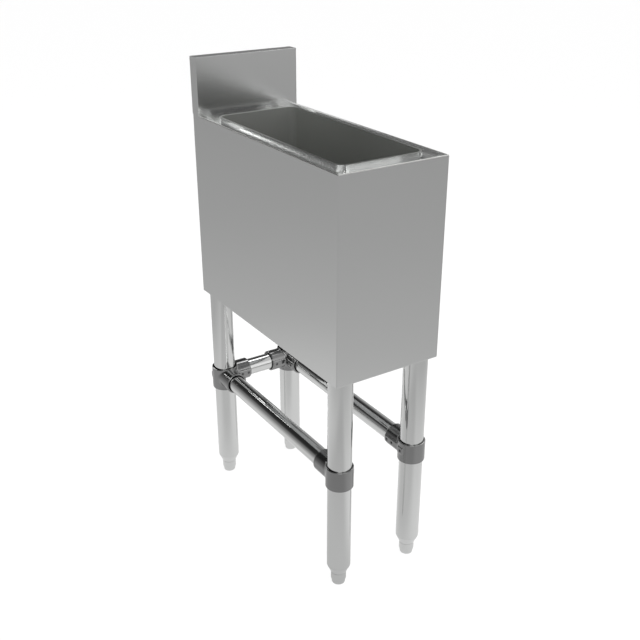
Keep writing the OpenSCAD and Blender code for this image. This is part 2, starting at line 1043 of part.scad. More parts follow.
bullet_foot(front_left);  // bullet_foot_front_left
bullet_foot(front_right);  // bullet_foot_front_right
bullet_foot(rear_left);  // bullet_foot_rear_left
bullet_foot(rear_right);  // bullet_foot_rear_right
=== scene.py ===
import math

import bmesh
import bpy
import numpy as np
from mathutils import Matrix, Vector


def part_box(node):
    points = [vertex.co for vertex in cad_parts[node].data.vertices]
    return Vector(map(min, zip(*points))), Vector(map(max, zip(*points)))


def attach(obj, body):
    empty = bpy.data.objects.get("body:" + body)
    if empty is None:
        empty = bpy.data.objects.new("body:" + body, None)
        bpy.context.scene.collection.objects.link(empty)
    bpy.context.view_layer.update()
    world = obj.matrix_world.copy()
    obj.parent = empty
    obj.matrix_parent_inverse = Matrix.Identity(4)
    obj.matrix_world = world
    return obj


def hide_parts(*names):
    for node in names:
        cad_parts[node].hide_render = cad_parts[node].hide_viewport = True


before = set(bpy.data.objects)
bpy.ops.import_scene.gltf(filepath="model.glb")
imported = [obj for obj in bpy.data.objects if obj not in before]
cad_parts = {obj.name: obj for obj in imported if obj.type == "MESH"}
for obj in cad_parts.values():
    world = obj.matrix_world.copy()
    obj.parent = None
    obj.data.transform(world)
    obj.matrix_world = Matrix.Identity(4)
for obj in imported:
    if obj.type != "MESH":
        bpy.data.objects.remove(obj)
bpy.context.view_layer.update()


# The studio: a white floor that fades into a white backdrop, a camera in front of the bin's left
# corner, a room that is bright to the front right and dim to the back left, and six soft boxes.
# Steel shows little but its surroundings, so what stands round the bin gives it its tones.
scene = bpy.context.scene
scene.view_settings.view_transform = "Standard"

CAMERA_PLACE = (-0.7949, -1.2631, 1.1204)
CAMERA_HEADING = 32.81
CAMERA_DOWN = 25.21
CAMERA_LENS = 50.63
CAMERA_SENSOR = 36.0


def linked(name, data):
    """A new object in the scene."""
    made = bpy.data.objects.new(name, data)
    scene.collection.objects.link(made)
    return made


camera_data = bpy.data.cameras.new("camera")
camera_data.lens = CAMERA_LENS
camera_data.sensor_width = CAMERA_SENSOR
camera = linked("camera", camera_data)
camera.location = CAMERA_PLACE
camera.rotation_euler = (math.radians(90 - CAMERA_DOWN), 0, math.radians(-CAMERA_HEADING))
scene.camera = camera


def add_node(tree, kind, inputs=(), **settings):
    """A new node. An input takes a value, a socket, or a node's first open output."""
    node = tree.nodes.new(kind)
    for key, value in settings.items():
        setattr(node, key, value)
    for key, value in dict(inputs).items():
        if isinstance(value, bpy.types.Node):
            value = next(socket for socket in value.outputs if socket.enabled)
        if isinstance(value, bpy.types.NodeSocket):
            tree.links.new(value, node.inputs[key])
        else:
            node.inputs[key].default_value = value
    return node


def vector_math(tree, operation, *values):
    return add_node(tree, "ShaderNodeVectorMath", dict(enumerate(values)), operation=operation)


def map_range(tree, value, start, end, low=0.0, high=1.0, **settings):
    limits = {"Value": value, "From Min": start, "From Max": end, "To Min": low, "To Max": high}
    return add_node(tree, "ShaderNodeMapRange", limits, **settings)


def object_place(tree):
    return add_node(tree, "ShaderNodeTexCoord").outputs["Object"]


def grey(value):
    return (value, value, value, 1.0)


def ramp(tree, factor, stops):
    """Greys along a factor from 0 to 1."""
    node = add_node(tree, "ShaderNodeValToRGB", {"Fac": factor})
    elements = node.color_ramp.elements
    while len(elements) < len(stops):
        elements.new(1.0)
    for element, (place, value) in zip(elements, stops):
        element.position = place
        element.color = grey(value)
    return node


# Radiance of the room by elevation in degrees, on its dim side and on its bright side
ROOM_DIM = ((-6, 0.34), (0, 0.30), (6, 0.26), (13, 0.2), (20, 0.09), (26, 0.04), (32, 0.025),
            (48, 0.03), (62, 0.28), (90, 0.7))
ROOM_BRIGHT = ((-6, 0.64), (0, 0.9), (14, 1.0), (26, 1.0), (37, 0.64), (50, 0.64), (90, 0.7))
BRIGHT_SIDE = Vector((0.54, -0.84, 0.0))
SIDE_FADE = (-0.58, 0.55)
ROOM_LOW = -0.1


def room_ramp(tones):
    stops = [((math.sin(math.radians(e)) - ROOM_LOW) / (1 - ROOM_LOW), v) for e, v in tones]
    return ramp(room, height, stops)


world = bpy.data.worlds.new("studio")
scene.world = world
world.use_nodes = True
room = world.node_tree
room.nodes.clear()
look = add_node(room, "ShaderNodeTexCoord").outputs["Generated"]
parts = add_node(room, "ShaderNodeSeparateXYZ", {"Vector": look})
height = map_range(room, parts.outputs["Z"], ROOM_LOW, 1.0)
heading = vector_math(room, "NORMALIZE", vector_math(room, "MULTIPLY", look, (1, 1, 0)))
side = map_range(room, vector_math(room, "DOT_PRODUCT", heading, BRIGHT_SIDE), *SIDE_FADE,
                 interpolation_type="SMOOTHSTEP")
tone = add_node(room, "ShaderNodeMix", {"Factor": side, 6: room_ramp(ROOM_DIM), 7: room_ramp(ROOM_BRIGHT)},
                data_type="RGBA")
lit = add_node(room, "ShaderNodeBackground", {"Color": tone})
white = add_node(room, "ShaderNodeBackground", {"Color": grey(1.0)})
seen = add_node(room, "ShaderNodeLightPath").outputs["Is Camera Ray"]
both = add_node(room, "ShaderNodeMixShader", {0: seen, 1: lit, 2: white})
add_node(room, "ShaderNodeOutputWorld", {"Surface": both})

# The camera sees the white room through the floor, with a faint shadow; steel sees a painted pool of light on
# it, a glow that falls off away from the bin, with a long patch of painted shadow on the camera's side
FLOOR_HALF = 15.0
SHADE_AT = (-0.27, -0.33, 0.0)
SHADE_SHAPE = (1.0, 0.62, 1.0)
SHADE_EDGE = (0.2, 0.42)
SHADE_TONES = (0.66, 0.88)
POOL_TONES = ((0.0, 0.8), (0.07, 0.78), (0.13, 0.66), (0.2, 0.48), (0.4, 0.4), (1.0, 0.36))
POOL_REACH = 5.0
POOL_PAINT = grey(0.1)
FLOOR_PAINT = grey(0.8)
CLEAR_TINT = grey(0.9)
SHADOW_PAINT = grey(0.2)


def new_material(name):
    """A new material and its node tree."""
    made = bpy.data.materials.new(name)
    made.use_nodes = True
    return made, made.node_tree


floor_mesh = bpy.data.meshes.new("floor")
floor_mesh.from_pydata([(x * FLOOR_HALF, y * FLOOR_HALF, 0) for x, y in ((-1, -1), (1, -1), (1, 1), (-1, 1))],
                       [], [(0, 1, 2, 3)])
floor = linked("floor", floor_mesh)
paint, tree = new_material("studio_floor")
tree.nodes.clear()
rays = add_node(tree, "ShaderNodeLightPath").outputs
spot = object_place(tree)
away = map_range(tree, vector_math(tree, "LENGTH", spot), 0.0, POOL_REACH)
off_shade = vector_math(tree, "MULTIPLY", vector_math(tree, "SUBTRACT", spot, SHADE_AT), SHADE_SHAPE)
strength = map_range(tree, vector_math(tree, "LENGTH", off_shade), *SHADE_EDGE, *SHADE_TONES,
                     interpolation_type="SMOOTHSTEP")
pool = add_node(tree, "ShaderNodeEmission", {"Color": ramp(tree, away, POOL_TONES), "Strength": strength})
pool_paint = add_node(tree, "ShaderNodeBsdfDiffuse", {"Color": POOL_PAINT})
pool = add_node(tree, "ShaderNodeAddShader", {0: pool, 1: pool_paint})
clear = add_node(tree, "ShaderNodeBsdfTransparent", {"Color": CLEAR_TINT})
shadow = add_node(tree, "ShaderNodeBsdfDiffuse", {"Color": SHADOW_PAINT})
clear = add_node(tree, "ShaderNodeAddShader", {0: clear, 1: shadow})
plain = add_node(tree, "ShaderNodeBsdfDiffuse", {"Color": FLOOR_PAINT})
mirrored = add_node(tree, "ShaderNodeMath", {0: rays["Is Glossy Ray"], 1: rays["Is Transmission Ray"]},
                    operation="MAXIMUM")
both = add_node(tree, "ShaderNodeMixShader", {0: mirrored, 1: plain, 2: pool})
both = add_node(tree, "ShaderNodeMixShader", {0: rays["Is Camera Ray"], 1: both, 2: clear})
add_node(tree, "ShaderNodeOutputMaterial", {"Surface": both})
floor_mesh.materials.append(paint)

LAMP_TARGET = Vector((0, 0, 0.5))


def lamp(name, place, width, height, radiance, seen_by_steel=True):
    """A soft box that looks at the middle of the bin."""
    data = bpy.data.lights.new(name, "AREA")
    data.shape = "RECTANGLE"
    data.size = width
    data.size_y = height
    data.energy = radiance * math.pi * width * height
    box = linked(name, data)
    box.location = place
    box.rotation_euler = (Vector(place) - LAMP_TARGET).to_track_quat("Z", "Y").to_euler()
    box.visible_camera = False
    box.visible_glossy = seen_by_steel


lamp("window_lamp", (0.46, -2.35, 1.51), 1.2, 0.8, 1.0)
lamp("front_lamp", (-1.29, -2.02, 1.51), 1.3, 0.8, 2.0)
lamp("back_strip_lamp", (-0.05, 1.0, 0.93), 0.3, 0.46, 5.0)
lamp("rear_lamp", (-1.40, 2.9, 1.46), 0.3, 0.4, 7.0)
lamp("high_lamp", (1.35, 0.55, 2.1), 1.4, 1.2, 2.5)
lamp("ceiling_lamp", (0.0, -0.3, 3.5), 2.6, 2.6, 1.2, seen_by_steel=False)


# The cabinet skin: one sheet of satin stainless steel, 1.5 mm thick, bent round the front into a U,
# with its top and bottom edges folded over into hems, and narrow flanges turned in behind the back
# that are drilled and countersunk for the back panel's screws.
MM = 0.001
skin_low, skin_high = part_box("cabinet_skin")
splash_low, splash_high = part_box("backsplash")
SIDE_X = skin_high.x
FRONT_Y = skin_low.y
BACK_Y = skin_high.y
SKIRT_Z = skin_low.z
TOP_Z = skin_high.z
SKIN_T = 1.5 * MM
HEM_W = 2 * SKIN_T
HEM_STEPS = 10
BEND_R = 2.0 * MM
BEND_STEPS = 6
BASE_HEM_H = 12 * MM
RETURN_W = 15 * MM
RETURN_TOP = splash_low.z
SPLASH_Y = splash_low.y
DECK_SINK = 13 * MM
DECK_Z = TOP_Z - DECK_SINK
BACK_SCREW_X = SIDE_X - RETURN_W / 2
BACK_SCREW_Z = (SKIRT_Z + 30 * MM, (SKIRT_Z + TOP_Z) / 2, RETURN_TOP - 22 * MM)
BACK_SCREW_R = 1.7 * MM
BACK_HEAD_R = 3.4 * MM
CUTTER_PROUD = 0.2 * MM
GRAIN_DEPTH = 0.1 * MM
STAINLESS = (0.74, 0.745, 0.74)
PALE_STEEL = (0.87, 0.875, 0.87)
BELT_STROKE = (5.0, 5.0, 1100.0)
ROLLED_STROKE = (5.0, 5.0, 300.0)
SAME_POINT = 1e-6


def group_sockets(group, direction, *rows):
    """Named sockets of a node group, each with its kind and, where it keeps one, its value."""
    for name, kind, *value in rows:
        socket = group.interface.new_socket(name, in_out=direction, socket_type="NodeSocket" + kind)
        if value:
            socket.default_value = value[0]


# Satin grain: fine strokes of an abrasive belt, longer than they are wide, that vary the roughness,
# the tone and the height a little
grain = bpy.data.node_groups.new("satin_grain", "ShaderNodeTree")
group_sockets(grain, "INPUT", ("Stroke", "Vector"), ("Cloud", "Float", 5.0), ("Roughness", "Float"),
              ("Roughness spread", "Float", 0.05), ("Tone", "Color"), ("Tone spread", "Float", 0.03))
group_sockets(grain, "OUTPUT", ("Color", "Color"), ("Roughness", "Float"), ("Height", "Float"))
given = add_node(grain, "NodeGroupInput").outputs
spot = object_place(grain)
drawn = vector_math(grain, "MULTIPLY", spot, given["Stroke"])
strokes = add_node(grain, "ShaderNodeTexNoise",
                   {"Vector": drawn, "Scale": 1.0, "Detail": 3.0, "Roughness": 0.6})
clouds = add_node(grain, "ShaderNodeTexNoise", {"Vector": spot, "Scale": given["Cloud"], "Detail": 2.0})
mixed = add_node(grain, "ShaderNodeMix", {"Factor": 0.5, 2: strokes, 3: clouds}, data_type="FLOAT")
swing = add_node(grain, "ShaderNodeMath", {0: mixed, 1: 0.5}, operation="SUBTRACT")
rough = add_node(grain, "ShaderNodeMath", {0: swing, 1: given["Roughness spread"], 2: given["Roughness"]},
                 operation="MULTIPLY_ADD")
light = add_node(grain, "ShaderNodeMath", {0: swing, 1: given["Tone spread"], 2: 1.0},
                 operation="MULTIPLY_ADD")
toned = vector_math(grain, "MULTIPLY", given["Tone"], light)
add_node(grain, "NodeGroupOutput", {"Color": toned, "Roughness": rough, "Height": strokes})


def steel(name, tone, roughness, stroke, bump, metal=1.0):
    """A bare metal with a drawn grain along the axes that its stroke leaves long."""
    made, tree = new_material(name)
    shader = tree.nodes["Principled BSDF"]
    shader.inputs["Metallic"].default_value = metal
    drawn = add_node(tree, "ShaderNodeGroup",
                     {"Stroke": stroke, "Roughness": roughness, "Tone": (*tone, 1.0)}, node_tree=grain)
    raised = add_node(tree, "ShaderNodeBump",
                      {"Strength": bump, "Distance": GRAIN_DEPTH, "Height": drawn.outputs["Height"]})
    tree.links.new(drawn.outputs["Color"], shader.inputs["Base Color"])
    tree.links.new(drawn.outputs["Roughness"], shader.inputs["Roughness"])
    tree.links.new(raised.outputs["Normal"], shader.inputs["Normal"])
    return made


def finish_piece(piece, material, node, body="bin", sharp=30):
    """Gives a made object its material, shading and body, and hides the node it stands for."""
    piece.data.materials.clear()
    piece.data.materials.append(material)
    piece.data.shade_smooth()
    piece.data.set_sharp_from_angle(angle=math.radians(sharp))
    even = piece.modifiers.new("even", "WEIGHTED_NORMAL")
    even.keep_sharp = True
    worked_in(piece)
    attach(piece, body)
    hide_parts(node)


def mesh_object(name, points, faces):
    """A mesh with doubled points merged and its faces turned outwards."""
    mesh = bpy.data.meshes.new(name)
    mesh.from_pydata(points, [], faces)
    work = bmesh.new()
    work.from_mesh(mesh)
    bmesh.ops.remove_doubles(work, verts=work.verts, dist=SAME_POINT)
    bmesh.ops.dissolve_degenerate(work, edges=work.edges, dist=SAME_POINT / 10)
    bmesh.ops.recalc_face_normals(work, faces=work.faces)
    work.to_mesh(mesh)
    work.free()
    return linked(name, mesh)


def loft(name, rings, looped=False, capped=False):
    """A skin over closed rings that all have as many points."""
    count = len(rings[0])
    points = [p for ring in rings for p in ring]
    faces = []
    for i in range(len(rings) if looped else len(rings) - 1):
        a, b = i * count, (i + 1) % len(rings) * count
        for j in range(count):
            k = (j + 1) % count
            faces.append((a + j, a + k, b + k, b + j))
    if capped:
        faces.append(tuple(range(count)))
        faces.append(tuple(range((len(rings) - 1) * count, len(rings) * count)))
    return mesh_object(name, points, faces)


def arc(start, end, steps):
    """Angles in degrees, ends included, as radians."""
    return [math.radians(start + (end - start) * i / steps) for i in range(steps + 1)]


def turned(name, profile, frame_at=Matrix(), segments=96, looped=True):
    """A turned shape about local Z from (radius, along) pairs; a looped profile is a ring's section."""
    rings = []
    for radius, along in profile:
        rings.append([frame_at @ Vector((radius * math.cos(a), radius * math.sin(a), along))
                      for a in arc(0, 360 - 360 / segments, segments - 1)])
    return loft(name, rings, looped=looped)


def worked_in(piece):
    """Works an object's modifiers into its one plain mesh."""
    depsgraph = bpy.context.evaluated_depsgraph_get()
    made = bpy.data.meshes.new_from_object(piece.evaluated_get(depsgraph))
    piece.modifiers.clear()
    piece.data = made


def carve(piece, cutters, operation="DIFFERENCE"):
    """Cuts a closed piece with closed shapes and drops them."""
    for cutter in cutters:
        cut = piece.modifiers.new("cut", "BOOLEAN")
        cut.operation = operation
        cut.solver = "MANIFOLD"
        cut.object = cutter
    worked_in(piece)
    for cutter in cutters:
        bpy.data.objects.remove(cutter)
    return piece


def aimed(place, direction):
    """A frame at a place whose Z points along a direction."""
    turn = Vector(direction).to_track_quat("Z", "Y").to_matrix().to_4x4()
    return Matrix.Translation(place) @ turn


def skin_path():
    """Stations along the sheet from the middle of the front to the right rear flange: place on the
    outer face, the way in, the corner's own way in where it bends, and which section it has."""
    stations = []

    def straight(x, y, inward, kind):
        stations.append(((x, y), Vector(inward), None, kind))

    def bend(cx, cy, start, end, corner, kind):
        for a in arc(start, end, BEND_STEPS):
            out = Vector((math.cos(a), math.sin(a)))
            stations.append(((cx + BEND_R * out.x, cy + BEND_R * out.y), -out, (cx, cy, *corner), kind))

    straight(0, FRONT_Y, (0, 1), "hem")
    bend(SIDE_X - BEND_R, FRONT_Y + BEND_R, -90, 0, (1, -1), "hem")
    straight(SIDE_X, SPLASH_Y, (-1, 0), "hem")
    straight(SIDE_X, SPLASH_Y, (-1, 0), "rear")
    straight(SIDE_X, BACK_Y - HEM_W, (-1, 0), "rear")
    straight(SIDE_X, BACK_Y - HEM_W, (-1, 0), "bare")
    straight(SIDE_X, BACK_Y - BEND_R, (-1, 0), "bare")
    bend(SIDE_X - BEND_R, BACK_Y - BEND_R, 0, 90, (1, 1), "flange")
    straight(SIDE_X - RETURN_W, BACK_Y, (0, -1), "flange")
    return stations


def skin_section(kind):
    """The sheet's cross-section as inset and height: up the outside, over the top fold, down."""
    r = HEM_W / 2
    low = SKIRT_Z
    high = RETURN_TOP if kind == "flange" else TOP_Z
    folds = arc(180, 0, HEM_STEPS)
    if kind == "hem":
        top = [(r + r * math.cos(a), high - r + r * math.sin(a)) for a in folds]
    else:
        top = [(0 if i < len(folds) / 2 else SKIN_T, high) for i in range(len(folds))]
    step = min(DECK_Z, high)
    down = [(HEM_W if kind == "hem" else SKIN_T, step), (SKIN_T, step)]
    if kind in ("hem", "rear"):
        foot = [(SKIN_T, low + BASE_HEM_H), (HEM_W, low + BASE_HEM_H)]
        foot += [(r - r * math.cos(a), low + r - r * math.sin(a)) for a in folds]
    else:
        foot = [(SKIN_T, low + BASE_HEM_H)] * 2
        foot += [(SKIN_T if i < len(folds) / 2 else 0, low) for i in range(len(folds))]
    return top + down + foot


def at_inset(station, inset):
    """A station's place, moved inwards through the sheet."""
    (x, y), inward, corner, _ = station
    if corner and inset > BEND_R:
        cx, cy, way_x, way_y = corner
        return cx + (BEND_R - inset) * way_x, cy + (BEND_R - inset) * way_y
    return x + inward.x * inset, y + inward.y * inset


right = []
for station in skin_path():
    right.append([(*at_inset(station, inset), z) for inset, z in skin_section(station[3])])
left = [[(-x, y, z) for x, y, z in ring] for ring in reversed(right[1:])]
skin = loft("skin_sheet", left + right, capped=True)
back_screw_places = [Vector((s * BACK_SCREW_X, BACK_Y, z)) for s in (-1, 1) for z in BACK_SCREW_Z]
sink = [(0, CUTTER_PROUD), (BACK_HEAD_R, CUTTER_PROUD), (BACK_HEAD_R, 0), (BACK_SCREW_R, -SKIN_T),
        (BACK_SCREW_R, -2 * SKIN_T), (0, -2 * SKIN_T)]
carve(skin, [turned("sink", sink, aimed(place, (0, 1, 0)), segments=48, looped=False)
             for place in back_screw_places])
satin = steel("satin_steel", STAINLESS, 0.22, BELT_STROKE, 0.05)
inner = steel("inner_steel", PALE_STEEL, 0.16, ROLLED_STROKE, 0.003, metal=0.75)
# Painted shade: a dark, rough steel on the top folds, so the top edges read as a dark line instead of
# catching highlights
fold_shade_paint = steel("fold_painted_shade", (0.50, 0.50, 0.49), 0.42, ROLLED_STROKE, 0.02)
finish_piece(skin, satin, "cabinet_skin")
skin.data.materials.append(inner)
skin.data.materials.append(fold_shade_paint)
for face in skin.data.polygons:
    x, y, z = face.center
    if min(SIDE_X - abs(x), y - FRONT_Y) > HEM_W * 0.75:
        face.material_index = 1
    # faces along the top folds take the painted shade
    elif z > TOP_Z - HEM_W / 2:
        face.material_index = 2


# The back panel: a flat satin sheet held behind the flanges by six countersunk screws with a cross
# recess. The rows below set one fastener at every point of a cloud, aimed outwards; all the bin's
# bolts, nuts, rivets and screws use them.
rows = bpy.data.node_groups.new("fastener_rows", "GeometryNodeTree")
group_sockets(rows, "INPUT", ("Places", "Geometry"), ("Fastener", "Object"), ("Finish", "Material"),
              ("Largest turn", "Float"), ("Seed", "Int"))
group_sockets(rows, "OUTPUT", ("Fasteners", "Geometry"))
given = add_node(rows, "NodeGroupInput").outputs
aim = add_node(rows, "GeometryNodeInputNamedAttribute", {"Name": "aim"}, data_type="FLOAT_VECTOR")
reach = add_node(rows, "GeometryNodeInputNamedAttribute", {"Name": "reach"}, data_type="FLOAT")
along = add_node(rows, "FunctionNodeAlignRotationToVector", {"Vector": aim}, axis="Z")
spin = add_node(rows, "FunctionNodeRandomValue", {"Seed": given["Seed"]}, data_type="FLOAT")
spin = add_node(rows, "ShaderNodeMath", {0: spin, 1: given["Largest turn"]}, operation="MULTIPLY")
spin = add_node(rows, "FunctionNodeAxisAngleToRotation", {"Axis": (0, 0, 1), "Angle": spin})
turn = add_node(rows, "FunctionNodeRotateRotation", {"Rotation": along, "Rotate By": spin},
                rotation_space="LOCAL")
stretch = add_node(rows, "ShaderNodeCombineXYZ", {"X": 1.0, "Y": 1.0, "Z": reach})
shape = add_node(rows, "GeometryNodeObjectInfo", {"Object": given["Fastener"]})
sown = add_node(rows, "GeometryNodeInstanceOnPoints",
                {"Points": given["Places"], "Instance": shape.outputs["Geometry"],
                 "Rotation": turn, "Scale": stretch})
sown = add_node(rows, "GeometryNodeRealizeInstances", {"Geometry": sown})
sown = add_node(rows, "GeometryNodeSetMaterial", {"Geometry": sown, "Material": given["Finish"]})
add_node(rows, "NodeGroupOutput", {"Fasteners": sown})
row_inputs = {item.name: item.identifier for item in rows.interface.items_tree if item.in_out == "INPUT"}


def fastener_rows(name, fastener, places, material, node, largest_turn, seed):
    """One fastener at every place, given as where it sits, which way it looks and how long it is."""
    mesh = bpy.data.meshes.new(name)
    mesh.from_pydata([place for place, _, _ in places], [], [])
    aims = mesh.attributes.new("aim", "FLOAT_VECTOR", "POINT")
    aims.data.foreach_set("vector", [number for _, direction, _ in places for number in direction])
    reaches = mesh.attributes.new("reach", "FLOAT", "POINT")
    reaches.data.foreach_set("value", [length for _, _, length in places])
    piece = linked(name, mesh)
    sower = piece.modifiers.new("rows", "NODES")
    sower.node_group = rows
    sower[row_inputs["Fastener"]] = fastener
    sower[row_inputs["Finish"]] = material
    sower[row_inputs["Largest turn"]] = largest_turn
    sower[row_inputs["Seed"]] = seed
    worked_in(piece)
    bpy.data.objects.remove(fastener)
    finish_piece(piece, material, node)


def block(name, width, depth, low, high):
    """A plain block about the Z axis, as a blank or a cutter."""
    x, y = width / 2, depth / 2
    return loft(name, [[(-x, -y, z), (x, -y, z), (x, y, z), (-x, y, z)] for z in (low, high)], capped=True)


SCREW_LEN = 9 * MM
SCREW_TIP = 0.6 * MM
CROSS_W = 0.75 * MM
CROSS_L = 3.4 * MM
CROSS_DEPTH = 1.1 * MM
screw_profile = [(0, 0), (1.8 * MM, -0.02 * MM), (3.1 * MM, -0.06 * MM),
                 (BACK_HEAD_R - 0.03 * MM, -0.1 * MM), (BACK_SCREW_R, -SKIN_T - 0.05 * MM),
                 (BACK_SCREW_R, SCREW_TIP - SCREW_LEN), (1.2 * MM, -SCREW_LEN), (0, -SCREW_LEN)]
screw = turned("cross_screw", screw_profile, segments=48, looped=False)
carve(screw, [block("slot", *size, -CROSS_DEPTH, MM) for size in ((CROSS_W, CROSS_L), (CROSS_L, CROSS_W))])
bright = steel("bright_steel", (0.62, 0.62, 0.615), 0.12, (300.0,) * 3, 0.02)
fastener_rows("back_screw_set", screw, [(p, (0, 1, 0), 1.0) for p in back_screw_places], bright,
              "back_screws", largest_turn=1.5, seed=3)


FLAT_ANGLE = math.radians(0.5)
BEVEL_ANGLE = math.radians(50)


def dressed(node, name, material, bevel=0.0):
    """A merged copy of a node that stands for it, with its edges broken by a bevel."""
    made = linked(name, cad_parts[node].data.copy())
    work = bmesh.new()
    work.from_mesh(made.data)
    bmesh.ops.remove_doubles(work, verts=work.verts, dist=2 * SAME_POINT)
    bmesh.ops.dissolve_limit(work, angle_limit=FLAT_ANGLE, verts=work.verts, edges=work.edges)
    bmesh.ops.recalc_face_normals(work, faces=work.faces)
    work.to_mesh(made.data)
    work.free()
    if bevel:
        edge = made.modifiers.new("edge", "BEVEL")
        edge.width = bevel
        edge.segments = 2
        edge.limit_method = "ANGLE"
        edge.angle_limit = BEVEL_ANGLE
        worked_in(made)
    finish_piece(made, material, node)


dressed("back_panel", "back_sheet", satin)


# The backsplash: one sheet folded into a box over the bin's rear edge. Its front face runs down
# behind the deck and its back laps over the back panel; an end cap closes each side and is welded
# and ground flush with the cabinet's side.
SPLASH_FOLD = 0.35 * MM
CAP_FLANGE = 8 * MM
FOLD_STEPS = 5


def rounded(corners, radii):
    """A closed outline in two dimensions with its corners rounded."""
    outline = []
    for i, (corner, radius) in enumerate(zip(corners, radii)):
        here = Vector(corner)
        if radius == 0:
            outline.append(tuple(here))
            continue
        last = (Vector(corners[i - 1]) - here).normalized()
        after = (Vector(corners[(i + 1) % len(corners)]) - here).normalized()
        open_half = last.angle(after) / 2
        middle = here + (last + after).normalized() * (radius / math.sin(open_half))
        start = here + last * (radius / math.tan(open_half)) - middle
        end = here + after * (radius / math.tan(open_half)) - middle
        first = math.atan2(start.y, start.x)
        swing = (math.atan2(end.y, end.x) - first + math.pi) % (2 * math.pi) - math.pi
        for k in range(FOLD_STEPS + 1):
            a = first + swing * k / FOLD_STEPS
            outline.append((middle.x + radius * math.cos(a), middle.y + radius * math.sin(a)))
    return outline


def across(name, outline, x0, x1):
    """A solid across the bin from an outline in Y and Z."""
    return loft(name, [[(x, y, z) for y, z in outline] for x in (x0, x1)], capped=True)


def joined(name, *pieces):
    """One object with the meshes of several, which are dropped."""
    work = bmesh.new()
    for piece in pieces:
        work.from_mesh(piece.data)
        bpy.data.objects.remove(piece)
    mesh = bpy.data.meshes.new(name)
    work.to_mesh(mesh)
    work.free()
    return linked(name, mesh)


t = SKIN_T
y0, y1 = SPLASH_Y, BACK_Y
low, high = RETURN_TOP, splash_high.z
sheet_outline = rounded([(y0, low), (y0, high), (y1, high), (y1, low), (y1 - t, low), (y1 - t, high - t),
                         (y0 + t, high - t), (y0 + t, low)],
                        [0, SPLASH_FOLD, BEND_R, 0, 0, BEND_R - t, 0.1 * MM, 0])
finish_piece(across("backsplash_sheet", sheet_outline, -SIDE_X + t, SIDE_X - t), satin,
             "backsplash")
end_outline = rounded([(y0, TOP_Z), (y0, high), (y1, high), (y1, TOP_Z)], [0, SPLASH_FOLD, BEND_R, 0])
in0, in1, top = y0 + t, y1 - t, high - t
fold_outline = [(in0, TOP_Z), (in0, top), (in1, top), (in1, TOP_Z), (in1 - t, TOP_Z), (in1 - t, top - t),
                (in0 + t, top - t), (in0 + t, TOP_Z)]
for side_name, s in (("left", -1), ("right", 1)):
    cap = joined("backsplash_end_" + side_name,
                 across("plate", end_outline, s * (SIDE_X - t), s * SIDE_X),
                 across("fold", fold_outline, s * (SIDE_X - t - CAP_FLANGE), s * (SIDE_X - t)))
    finish_piece(cap, satin, "backsplash_cap_" + side_name)


# The deck: a flat satin sheet, sunk below the top edge, with its edges turned down inside the skins
# and a hole for the well, whose rim it carries.
mill = steel("mill_steel", PALE_STEEL, 0.12, ROLLED_STROKE, 0.003)
dressed("top_deck", "deck_sheet", mill)


# The well liner: one welded and polished steel pan with rounded corners and coved lower edges. Its
# rim stands above the deck and is rolled over; its floor falls from both ends to the drain.
liner_low, liner_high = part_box("well_liner")
RIM_W = 4.5 * MM
RIM_ROLL = 0.4 * MM
LINER_T = 1.2 * MM
WELL_X = liner_high.x - RIM_W
WELL_Y0 = liner_low.y + RIM_W
WELL_Y1 = liner_high.y - RIM_W
WELL_LOW = liner_low.z + LINER_T
RIM_Z = liner_high.z
CORNER_R = 14 * MM
COVE_R = 12 * MM
FLOOR_FALL = 8 * MM
FLOOR_EASE = 6 * MM
DRAIN_FLAT = 70 * MM
DRAIN_Y = (WELL_Y0 + WELL_Y1) / 2
DRAIN_BODY_R = 20.5 * MM
CORNER_STEPS = 10
SIDE_STEPS = 24
FLOOR_STEPS = 14
ROLL_STEPS = 6
COVE_STEPS = 8


def well_ring(grow):
    """The plan of the well, grown or drawn in, as points in a fixed order."""
    x, y0, y1 = WELL_X + grow, WELL_Y0 - grow, WELL_Y1 + grow
    r = CORNER_R + grow
    centres = ((x - r, y1 - r, 0), (-x + r, y1 - r, 90), (-x + r, y0 + r, 180), (x - r, y0 + r, 270))
    ring = []
    for i, (cx, cy, start) in enumerate(centres):
        turn = arc(start, start + 90, CORNER_STEPS)
        ring += [Vector((cx + r * math.cos(a), cy + r * math.sin(a))) for a in turn]
        nx, ny, _ = centres[(i + 1) % 4]
        target = Vector((nx + r * math.cos(turn[-1]), ny + r * math.sin(turn[-1])))
        leave = ring[-1]
        ring += [leave.lerp(target, k / SIDE_STEPS) for k in range(1, SIDE_STEPS)]
    return ring


def floor_height(y):
    """The floor: level by the drain and rising to both ends, with a soft start."""
    run = (WELL_Y1 - WELL_Y0 - DRAIN_FLAT) / 2
    past = abs(y - DRAIN_Y) - DRAIN_FLAT / 2
    eased = (past + math.hypot(past, FLOOR_EASE)) / 2
    return WELL_LOW + FLOOR_FALL * min(eased / run, 1.0)


rings = [[(*p, DECK_Z) for p in well_ring(RIM_W)]]
for middle, start in ((RIM_W - RIM_ROLL, 0), (RIM_ROLL, 90)):
    for a in arc(start, start + 90, ROLL_STEPS):
        rings.append([(*p, RIM_Z - RIM_ROLL + RIM_ROLL * math.sin(a))
                      for p in well_ring(middle + RIM_ROLL * math.cos(a))])
for a in arc(0, 90, COVE_STEPS):
    rings.append([(*p, floor_height(p.y) + COVE_R * (1 - math.sin(a)))
                  for p in well_ring(-COVE_R * (1 - math.cos(a)))])
drain_spot = Vector((0, DRAIN_Y))
for k in range(1, FLOOR_STEPS + 1):
    ring = []
    for p in well_ring(-COVE_R):
        away = p - drain_spot
        q = drain_spot + away.lerp(away.normalized() * DRAIN_BODY_R, k / FLOOR_STEPS)
        ring.append((q.x, q.y, floor_height(q.y)))
    rings.append(ring)
liner = loft("well_pan", rings)
sheet = liner.modifiers.new("sheet", "SOLIDIFY")
sheet.thickness = LINER_T
worked_in(liner)
lining = steel("liner_steel", (0.49, 0.50, 0.48), 0.22, (5.0, 5.0, 700.0), 0.04, metal=0.7)
